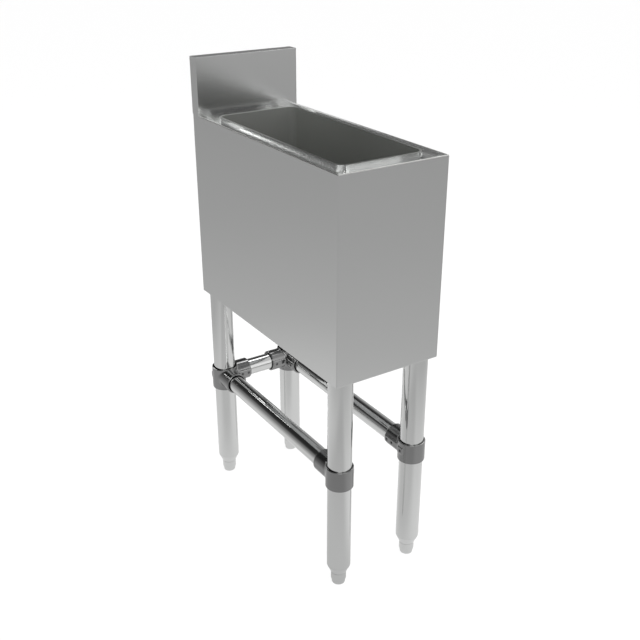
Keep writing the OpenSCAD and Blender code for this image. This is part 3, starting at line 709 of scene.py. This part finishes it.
# Painted shade: a dark, rough steel on the rim's rolled top, so it reads as a dark line instead of catching
# highlights
rim_shade_paint = steel("rim_painted_shade", (0.22, 0.225, 0.215), 0.35, ROLLED_STROKE, 0.02)
finish_piece(liner, lining, "well_liner")
liner.data.materials.append(mill)
liner.data.materials.append(rim_shade_paint)
for face in liner.data.polygons:
    outwards = face.normal.dot(face.center - Vector((0, DRAIN_Y, face.center.z))) > 0
    # faces on the rim's top take the painted shade
    if face.center.z > RIM_Z - RIM_ROLL:
        face.material_index = 2
    elif face.center.z > DECK_Z and outwards:
        face.material_index = 1


# The base: a zinc coated steel panel under the well with a turned down edge, and two hat channels
# riveted to it that carry the floor foam.
BASE_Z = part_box("base_panel")[1].z
BASE_T = 1.2 * MM
CRYSTALS_PER_M = 90.0
CRYSTAL_ROUGHNESS = (0.30, 0.48)
CRYSTAL_LIGHT = (0.9, 1.06)
galvanised = steel("galvanised_sheet", (0.66, 0.67, 0.675), CRYSTAL_ROUGHNESS[0], (60.0,) * 3, 0.03)
tree = galvanised.node_tree
shader = tree.nodes["Principled BSDF"]
crystals = add_node(tree, "ShaderNodeTexVoronoi", {"Vector": object_place(tree), "Scale": CRYSTALS_PER_M})
level = add_node(tree, "ShaderNodeSeparateColor", {"Color": crystals.outputs["Color"]}).outputs["Red"]
drawn = shader.inputs["Base Color"].links[0].from_socket
toned = vector_math(tree, "MULTIPLY", drawn, map_range(tree, level, 0.0, 1.0, *CRYSTAL_LIGHT))
rough = map_range(tree, level, 0.0, 1.0, *CRYSTAL_ROUGHNESS)
tree.links.new(toned.outputs["Vector"], shader.inputs["Base Color"])
tree.links.new(rough.outputs["Result"], shader.inputs["Roughness"])
zinc = steel("zinc_plate", (0.56, 0.57, 0.58), 0.28, (80.0,) * 3, 0.05)
dressed("base_panel", "base_tray", galvanised)
for side_name in ("left", "right"):
    dressed("base_channel_" + side_name, "base_hat_" + side_name, galvanised)

RIVET_R = 3.8 * MM
RIVET_BODY_R = 2.0 * MM
RIVET_SPREAD = 10.5 * MM
rivet_low, rivet_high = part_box("channel_rivets")
hat_low, hat_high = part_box("base_channel_right")
hat_x = (hat_low.x + hat_high.x) / 2
rivet_profile = [(0, 1.4 * MM), (1.5 * MM, 1.3 * MM), (2.7 * MM, 0.9 * MM), (3.5 * MM, 0.35 * MM),
                 (RIVET_R, 0), (RIVET_BODY_R, 0), (RIVET_BODY_R, -2.7 * MM), (2.8 * MM, -2.75 * MM),
                 (2.6 * MM, -3.8 * MM), (0, -4.1 * MM)]
rivet_places = [(Vector((s * (hat_x + f * RIVET_SPREAD), y, BASE_Z - BASE_T)), (0, 0, -1), 1.0)
                for s in (-1, 1) for f in (-1, 1) for y in (rivet_low.y + RIVET_R, rivet_high.y - RIVET_R)]
fastener_rows("rivet_set", turned("rivet", rivet_profile, segments=40, looped=False), rivet_places, zinc,
              "channel_rivets", largest_turn=6.0, seed=5)


# The insulation: rigid foam, pale yellow with fine pores, poured round the well and under it so
# that it fills the cabinet.
FOAM_TONES = ((0.86, 0.78, 0.54, 1.0), (0.93, 0.88, 0.68, 1.0))
PORES_PER_M = 260.0
PORE_DEPTH = 0.6 * MM


def speckled(name, tones, roughness, specks_per_m, detail):
    """A matt material between two tones, and the specks that mix them."""
    made, tree = new_material(name)
    shader = tree.nodes["Principled BSDF"]
    shader.inputs["Roughness"].default_value = roughness
    specks = add_node(tree, "ShaderNodeTexNoise",
                      {"Vector": object_place(tree), "Scale": specks_per_m, "Detail": detail})
    tint = add_node(tree, "ShaderNodeMix", {"Factor": specks, 6: tones[0], 7: tones[1]}, data_type="RGBA")
    tree.links.new(tint.outputs[2], shader.inputs["Base Color"])
    return made, specks


foam, cells = speckled("rigid_foam", FOAM_TONES, 0.9, PORES_PER_M, 4.0)
tree = foam.node_tree
pores = add_node(tree, "ShaderNodeBump", {"Strength": 0.4, "Distance": PORE_DEPTH, "Height": cells})
tree.links.new(pores.outputs["Normal"], tree.nodes["Principled BSDF"].inputs["Normal"])
for side_name in ("left", "right", "front", "rear", "floor"):
    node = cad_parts["foam_" + side_name]
    node.data.materials.clear()
    node.data.materials.append(foam)


# The drain: a nickel plated flanged body through the floor with a cross bar that holds the strainer's
# screw, a rubber gasket and a locknut under the floor, and a threaded tailpiece through a grommet.
drain_low, drain_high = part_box("drain_body")
tail_low, tail_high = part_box("drain_tailpiece")
FLANGE_R = drain_high.x
BORE_R = 14 * MM
FLANGE_T = 2 * MM
STRAINER_SEAT_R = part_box("drain_strainer")[1].x + 0.1 * MM
STRAINER_T = 1.2 * MM
TAIL_R = 16.7 * MM
TAIL_PLAIN_R = 17.1 * MM
TAIL_WALL = 2.7 * MM
TAIL_THREAD = 38 * MM
TAIL_SOCKET = 16 * MM
PIPE_PITCH = 2.2 * MM
PIPE_THREAD_DEPTH = 1.1 * MM
THREAD_SIDES = 64
STEPS_A_TURN = 8


def threaded(name, radius, pitch, depth, low, high, frame_at, bore=0.0, plain=()):
    """A rod or pipe with a real screw thread from low to high and plain rings above it."""
    angles = [2 * math.pi * j / THREAD_SIDES for j in range(THREAD_SIDES)]
    count = int((high - low) / pitch * STEPS_A_TURN)
    rings = []
    for i in range(count + 1):
        z = low + (high - low) * i / count
        fade = min(1.0, (z - low) / pitch, (high - z) / pitch)
        ring = []
        for j, a in enumerate(angles):
            phase = z / pitch - j / THREAD_SIDES
            ridge = abs(2 * (phase - math.floor(phase)) - 1)
            r = radius - depth * (1 - ridge * fade)
            ring.append((r * math.cos(a), r * math.sin(a), z))
        rings.append(ring)
    smooth = list(plain)
    if bore:
        smooth += [(bore, plain[-1][1]), (bore, low)]
    rings += [[(r * math.cos(a), r * math.sin(a), z) for a in angles] for r, z in smooth]
    rings = [[frame_at @ Vector(p) for p in ring] for ring in rings]
    return loft(name, rings, looped=bool(bore), capped=not bore)


nickel = steel("nickel_plate", (0.66, 0.655, 0.64), 0.16, (120.0, 120.0, 500.0), 0.02)
at_drain = Matrix.Translation((0, DRAIN_Y, 0))
z, foot = drain_high.z, drain_low.z
body_profile = [(BORE_R, foot + TAIL_SOCKET), (BORE_R, z - STRAINER_T - 2.4 * MM),
                (STRAINER_SEAT_R, z - STRAINER_T - 0.05 * MM), (STRAINER_SEAT_R, z - 0.3 * MM),
                (STRAINER_SEAT_R + 0.3 * MM, z), (FLANGE_R - 3.2 * MM, z),
                (FLANGE_R - 2.0 * MM, z - 0.35 * MM), (FLANGE_R - 0.5 * MM, z - 1.2 * MM),
                (FLANGE_R, z - FLANGE_T), (DRAIN_BODY_R, z - FLANGE_T),
                (DRAIN_BODY_R, foot + 0.6 * MM), (DRAIN_BODY_R - 0.6 * MM, foot),
                (TAIL_PLAIN_R, foot), (TAIL_PLAIN_R, foot + TAIL_SOCKET)]
finish_piece(turned("drain_flange", body_profile, at_drain), nickel, "drain_body")
dressed("drain_crossbar", "drain_cross", nickel, bevel=0.3 * MM)
dressed("drain_locknut", "drain_nut", nickel, bevel=0.5 * MM)
dressed("drain_strainer", "strainer_plate", bright, bevel=0.12 * MM)
dressed("strainer_screw", "strainer_fixing", bright, bevel=0.12 * MM)
thread_top = tail_low.z + TAIL_THREAD
tail = threaded("drain_pipe", TAIL_R, PIPE_PITCH, PIPE_THREAD_DEPTH, tail_low.z, thread_top, at_drain,
                bore=TAIL_R - TAIL_WALL,
                plain=[(TAIL_PLAIN_R, thread_top + 0.4 * MM), (TAIL_PLAIN_R, tail_high.z)])
finish_piece(tail, nickel, "drain_tailpiece")

rubber, _ = speckled("black_rubber", (grey(0.018), grey(0.035)), 0.62, 120.0, 3.0)
dressed("drain_gasket", "drain_seal", rubber, bevel=0.4 * MM)
dressed("drain_grommet", "pipe_grommet", rubber, bevel=0.6 * MM)


# The leg sockets: zinc plated steel plates bolted up under the base panel, each with a capped sleeve
# that the leg pushes into and a set screw in a boss that grips the leg.
CORNERS = {"front_left": (-1, -1), "front_right": (1, -1), "rear_left": (-1, 1), "rear_right": (1, 1)}
leg_box = {corner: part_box("leg_" + corner) for corner in CORNERS}
LEG_AT = {c: Vector(((lo.x + hi.x) / 2, (lo.y + hi.y) / 2, 0)) for c, (lo, hi) in leg_box.items()}
LEG_R = (leg_box["front_left"][1].x - leg_box["front_left"][0].x) / 2
PLATE_T = 3 * MM
PLATE_Z = BASE_Z - BASE_T - PLATE_T
BOLT_AT = 29 * MM
BOLT_SPOTS = ((BOLT_AT, -BOLT_AT / 2), (BOLT_AT, BOLT_AT), (-BOLT_AT / 2, BOLT_AT))
HEX_R = 5.8 * MM
BOLT_R = 3 * MM
BOLT_LEN = 10.2 * MM
BOLT_HEAD_H = 4 * MM
NUT_H = 5 * MM
for corner in CORNERS:
    dressed("leg_socket_" + corner, "socket_" + corner, zinc, bevel=0.5 * MM)


def at_corner(corner, x, y, z):
    """A point near a leg, counted from its axis into the bin."""
    sx, sy = CORNERS[corner]
    return LEG_AT[corner] + Vector((-sx * x, -sy * y, z))


def six_sided(name, radius, low, high):
    """A hexagonal bar about the Z axis."""
    return loft(name, [[(radius * math.cos(a), radius * math.sin(a), z) for a in arc(0, 300, 5)]
                       for z in (low, high)], capped=True)


def hexagon(name, high, chamfer):
    """A hexagonal head or nut on the plane z = 0 with its upper corners turned off."""
    clear_r = HEX_R + 0.1 * MM
    turning = turned("turning", [(0, -MM), (clear_r, -MM), (clear_r, high - chamfer * 0.6),
                                 (HEX_R - chamfer * 1.7, high), (0, high)], segments=48, looped=False)
    return carve(six_sided(name, HEX_R, 0, high), [turning], "INTERSECT")


def rod(name, radius, low, high, chamfer=0.6 * MM):
    """A plain pin along Z with a chamfered lower end."""
    profile = [(0, high), (radius, high), (radius, low + chamfer), (radius - chamfer, low), (0, low)]
    return turned(name, profile, segments=32, looped=False)


def bolt_places(z, way):
    return [(at_corner(c, x, y, z), way, 1.0) for c in CORNERS for x, y in BOLT_SPOTS]


bolt = joined("bolt", hexagon("head", BOLT_HEAD_H, 0.9 * MM), rod("shank", BOLT_R, -BOLT_LEN, 0))
fastener_rows("socket_bolt_set", bolt, bolt_places(PLATE_Z, (0, 0, -1)), zinc,
              "socket_bolts", largest_turn=1.0, seed=7)
nut_bore = rod("bore", BOLT_R + 0.05 * MM, -MM, NUT_H + MM, chamfer=0.01 * MM)
fastener_rows("socket_nut_set", carve(hexagon("nut", NUT_H, 0.7 * MM), [nut_bore]),
              bolt_places(BASE_Z, (0, 0, 1)), zinc, "socket_nuts", largest_turn=1.0, seed=8)


# The legs: polished stainless tube, cut square, pushed up into the sockets and closed at the foot
# by an insert.
polished = steel("polished_tube", STAINLESS, 0.09, (60.0, 60.0, 900.0), 0.005)
LEG_WALL = 1.5 * MM
TUBE_SIDES = 128


def tube_profile(outer, wall, low, high, soft):
    """The wall of a tube with its outer edges broken."""
    return [(outer - wall, low), (outer - soft, low), (outer, low + soft),
            (outer, high - soft), (outer - soft, high), (outer - wall, high)]


for corner, (lo, hi) in leg_box.items():
    tube = turned("leg_tube_" + corner, tube_profile(LEG_R, LEG_WALL, lo.z, hi.z, 0.1 * MM),
                  Matrix.Translation(LEG_AT[corner]), TUBE_SIDES)
    finish_piece(tube, polished, "leg_" + corner)


# The braces: bright tube between the legs, two along the sides and one across the back; the front is
# open for the user's feet.
buffed = steel("bright_tube", STAINLESS, 0.055, (300.0, 6.0, 300.0), 0.002)
rear_low, rear_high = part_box("rear_brace")
BRACE_R = (rear_high.z - rear_low.z) / 2
BRACE_Z = (rear_high.z + rear_low.z) / 2
BRACE_WALL = 1.5 * MM
for node, way in (("side_brace_left", (0, 1, 0)), ("side_brace_right", (0, 1, 0)), ("rear_brace", (1, 0, 0))):
    lo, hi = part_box(node)
    reach = (hi - lo).dot(Vector(way)) / 2
    tube = turned(node + "_tube", tube_profile(BRACE_R, BRACE_WALL, -reach, reach, 0.25 * MM),
                  aimed((lo + hi) / 2, way), TUBE_SIDES)
    finish_piece(tube, buffed, node)


# The brace fittings: ground castings that slip over the legs, a tee at each front leg and a two-armed
# corner at each rear leg. Flat pads along each arm and on the collar are drilled for set screws.
CAST_WALL = 2.5 * MM
ARM_BORE = BRACE_R + 1.8 * MM
ARM_R = ARM_BORE + CAST_WALL
ARM_REACH = 50.8 * MM
PAD_HALF = 7 * MM
PAD_PROUD = 1.2 * MM
BRACE_END = LEG_R + 3.1 * MM
SCREW_R = 3 * MM
ARM_SCREWS = (BRACE_END + SCREW_R + 2 * MM, ARM_REACH - 7.3 * MM)
COLLAR_DROP = 3 * MM
FITTINGS = {"tee": (LEG_R + 0.8 * MM, 38.6 * MM, 0), "corner": (LEG_R + 1.7 * MM, 45.4 * MM, -135)}
CAST_VOXEL = 0.8 * MM
CAST_EDGE = 1.0 * MM
PAD_EDGE = 0.5 * MM
PAD_FILLET = 1.2 * MM
ARM_PAD_EDGE = 0.6 * MM
ARM_PAD_FILLET = 1.0 * MM
ARM_FILLET = 2.6 * MM
BORE_SIDES = 96
CUTTER_PAST = 5 * MM
ARM_WAYS = (Vector((1, 0, 0)), Vector((0, 1, 0)))
PRESSES = 5
LEAST_SLOPE = 0.2
TINY = 0.02 * MM


def pillar_gap(p, axis, radius, low, high, edge):
    """How far points lie outside a capped cylinder along an axis through the origin."""
    u, v = [i for i in range(3) if i != axis]
    radial = np.hypot(p[:, u], p[:, v]) - (radius - edge)
    ends = np.abs(p[:, axis] - (low + high) / 2) - ((high - low) / 2 - edge)
    outside = np.hypot(np.maximum(radial, 0), np.maximum(ends, 0))
    return np.minimum(np.maximum(radial, ends), 0) + outside - edge


def block_gap(p, low, high, edge):
    """The same for a block."""
    low, high = np.array(low), np.array(high)
    q = np.abs(p - (low + high) / 2) - (high - low) / 2 + edge
    return np.linalg.norm(np.maximum(q, 0), axis=1) + np.minimum(q.max(axis=1), 0) - edge


def melt(a, b, fillet):
    """Two shapes as one with a fillet between them."""
    h = np.maximum(fillet - np.abs(a - b), 0) / fillet
    return np.minimum(a, b) - h * h * fillet / 4


def swung(p, degrees):
    """Points seen from a frame that is turned about Z."""
    c, s = math.cos(math.radians(degrees)), math.sin(math.radians(degrees))
    return np.stack((p[:, 0] * c + p[:, 1] * s, p[:, 1] * c - p[:, 0] * s, p[:, 2]), axis=1)


def casting(kind):
    """One fitting about its leg's axis at the braces' height, its arms towards +Y and +X."""
    bore, tall, pad_turn = FITTINGS[kind]
    collar_r = bore + CAST_WALL
    face = collar_r + PAD_PROUD
    low, high = -COLLAR_DROP - tall / 2, -COLLAR_DROP + tall / 2
    arms = (1,) if kind == "tee" else (1, 0)

    def gap(p):
        pad = block_gap(swung(p, pad_turn), (0, -PAD_HALF, -PAD_HALF), (face, PAD_HALF, PAD_HALF), PAD_EDGE)
        shape = melt(pillar_gap(p, 2, collar_r, low, high, CAST_EDGE), pad, PAD_FILLET)
        for axis in arms:
            end = [ARM_R + PAD_PROUD] * 3
            end[axis] = ARM_REACH - 0.5 * MM
            end[2] = PAD_HALF
            pad = block_gap(p, (0, 0, -PAD_HALF), end, ARM_PAD_EDGE)
            arm = melt(pillar_gap(p, axis, ARM_R, 0, ARM_REACH, CAST_EDGE), pad, ARM_PAD_FILLET)
            shape = melt(shape, arm, ARM_FILLET)
        return shape

    def plug(radius, start, end, way, sides=32):
        return turned("plug", [(0, start), (radius, start), (radius, end), (0, end)], aimed((0, 0, 0), way),
                      sides, looped=False)

    body = joined("casting", rod("blank", collar_r, low, high),
                  *[plug(ARM_R + MM, 0, ARM_REACH, ARM_WAYS[axis], sides=48) for axis in arms])
    grid = body.modifiers.new("grid", "REMESH")
    grid.mode = "VOXEL"
    grid.voxel_size = CAST_VOXEL
    worked_in(body)
    points = np.empty(len(body.data.vertices) * 3)
    body.data.vertices.foreach_get("co", points)
    points = points.reshape(-1, 3)
    for _ in range(PRESSES):
        slope = np.stack([(gap(points + step) - gap(points - step)) / (2 * TINY)
                          for step in np.eye(3) * TINY], axis=1)
        points -= slope * (gap(points) / np.maximum((slope ** 2).sum(axis=1), LEAST_SLOPE))[:, None]
    body.data.vertices.foreach_set("co", points.ravel())

    a = math.radians(pad_turn)
    cutters = [plug(bore, low - CUTTER_PAST, high + CUTTER_PAST, (0, 0, 1), BORE_SIDES),
               plug(SCREW_R, 0, face + CUTTER_PAST, (math.cos(a), math.sin(a), 0))]
    for axis in arms:
        way, inward = ARM_WAYS[axis], ARM_WAYS[1 - axis]
        cutters.append(plug(ARM_BORE, BRACE_END, ARM_REACH + CUTTER_PAST, way, BORE_SIDES))
        for spot in ARM_SCREWS:
            drill = plug(SCREW_R, 0, face + CUTTER_PAST, inward)
            drill.data.transform(Matrix.Translation(way * spot))
            cutters.append(drill)
    return carve(body, cutters)


cast = steel("cast_fitting", (0.30, 0.30, 0.30), 0.17, (200.0,) * 3, 0.12)
for kind, row in (("tee", "front"), ("corner", "rear")):
    pattern = casting(kind)
    for side_name in ("left", "right"):
        corner = row + "_" + side_name
        sx, sy = CORNERS[corner]
        piece = linked("cast_%s_%s" % (kind, side_name), pattern.data.copy())
        piece.data.transform(Matrix.Translation(at_corner(corner, 0, 0, BRACE_Z))
                             @ Matrix.Diagonal((-sx, -sy, 1, 1)))
        if sx * sy < 0:
            piece.data.flip_normals()
        finish_piece(piece, cast, "brace_%s_%s" % (kind, side_name), sharp=35)
    bpy.data.objects.remove(pattern)


# The set screws: black cup point screws with a hexagon socket, sunk a little below the fittings'
# pads and the sockets' bosses.
dark_steel = steel("dark_steel", (0.26, 0.26, 0.265), 0.22, (200.0,) * 3, 0.03)
SET_SCREW_LEN = 4 * MM
SET_SCREW_R = 2.95 * MM
KEY_R = 1.75 * MM
KEY_DEPTH = 2.2 * MM
SCREW_SINK = 0.5 * MM
SOCKET_BOSS = 7.2 * MM


def set_screw(name):
    """A set screw whose face lies at its origin and whose point is one length below it."""
    tip = -SET_SCREW_LEN
    body = turned(name, [(0, 0), (2.2 * MM, 0), (2.6 * MM, -0.1 * MM), (SET_SCREW_R, -0.5 * MM),
                         (SET_SCREW_R, tip + 0.5 * MM), (2.3 * MM, tip), (0, tip)], segments=40, looped=False)
    return carve(body, [six_sided("key", KEY_R, -KEY_DEPTH, MM)])


places = []
arm_face = ARM_R + PAD_PROUD - SCREW_SINK
for corner, (sx, sy) in CORNERS.items():
    into_x, into_y = Vector((-sx, 0, 0)), Vector((0, -sy, 0))
    kind = "tee" if sy < 0 else "corner"
    reach = (arm_face - BRACE_R) / SET_SCREW_LEN
    for spot in ARM_SCREWS:
        places.append((at_corner(corner, arm_face, spot, BRACE_Z), into_x, reach))
        if kind == "corner":
            places.append((at_corner(corner, spot, arm_face, BRACE_Z), into_y, reach))
    leg_face = FITTINGS[kind][0] + CAST_WALL + PAD_PROUD - SCREW_SINK
    way = into_x if kind == "tee" else -(into_x + into_y).normalized()
    at = at_corner(corner, 0, 0, BRACE_Z) + way * leg_face
    places.append((at, way, (leg_face - LEG_R) / SET_SCREW_LEN))
fastener_rows("brace_screw_set", set_screw("brace_screw"), places, dark_steel,
              "brace_set_screws", largest_turn=1.0, seed=11)
screw_low, screw_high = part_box("socket_set_screws")
boss_face = LEG_R + SOCKET_BOSS - SCREW_SINK
places = []
for corner, (sx, sy) in CORNERS.items():
    way = Vector((-sx, -sy, 0)).normalized()
    at = at_corner(corner, 0, 0, (screw_low.z + screw_high.z) / 2) + way * boss_face
    places.append((at, way, (boss_face - LEG_R) / SET_SCREW_LEN))
fastener_rows("socket_screw_set", set_screw("socket_screw"), places, dark_steel,
              "socket_set_screws", largest_turn=1.0, seed=12)


# The feet: a turned insert with a cone fills each leg's end, and a bullet foot on a threaded stud
# screws out of it to level the bin.
FOOT_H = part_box("bullet_foot_front_left")[1].z
RING_R = 13.7 * MM
RING_H = 15 * MM
NOSE_R = 12 * MM
NOSE_H = FOOT_H - RING_H
NOSE_ROUND = 2.2 * MM
STUD_R = 6.35 * MM
STUD_PITCH = 1.95 * MM
STUD_THREAD_DEPTH = 0.8 * MM
EDGE = 0.1 * MM
STUD_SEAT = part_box("foot_stud_front_left")[0].z
foot_steel = steel("turned_steel", STAINLESS, 0.14, (60.0, 60.0, 700.0), 0.03)
for corner in CORNERS:
    at = Matrix.Translation(LEG_AT[corner])
    lo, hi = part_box("foot_insert_" + corner)
    bore = STUD_R + 0.05 * MM
    shoulder = leg_box[corner][0].z
    insert = [(bore + 0.5 * MM, lo.z), (RING_R - EDGE, lo.z), (RING_R, lo.z + EDGE),
              (LEG_R - 0.5 * MM, shoulder - 2.1 * MM), (LEG_R - 0.15 * MM, shoulder - 1.1 * MM),
              (LEG_R, shoulder - EDGE), (LEG_R, shoulder), (LEG_R - LEG_WALL, shoulder),
              (LEG_R - LEG_WALL, hi.z), (bore, hi.z), (bore, lo.z + 0.5 * MM)]
    finish_piece(turned("leg_insert_" + corner, insert, at, TUBE_SIDES), foot_steel,
                 "foot_insert_" + corner)
    lo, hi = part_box("foot_stud_" + corner)
    stud = threaded("stud_" + corner, STUD_R, STUD_PITCH, STUD_THREAD_DEPTH, lo.z, hi.z, at)
    finish_piece(stud, zinc, "foot_stud_" + corner, body="foot_" + corner)
    bore = STUD_R + 0.02 * MM
    bullet = [(0, 0)]
    bullet += [(NOSE_R - NOSE_ROUND * (1 - math.sin(a)), NOSE_ROUND * (1 - math.cos(a)))
               for a in arc(0, 90, 8)]
    bullet += [(NOSE_R, NOSE_H - 0.4 * MM), (NOSE_R + 0.3 * MM, NOSE_H),
               (RING_R - 0.3 * MM, NOSE_H + 0.3 * MM), (RING_R, NOSE_H + 0.8 * MM),
               (RING_R, FOOT_H - EDGE), (RING_R - EDGE, FOOT_H),
               (bore, FOOT_H), (bore, STUD_SEAT), (0, STUD_SEAT)]
    finish_piece(turned("bullet_" + corner, bullet, at, TUBE_SIDES, looped=False), foot_steel,
                 "bullet_foot_" + corner, body="foot_" + corner)
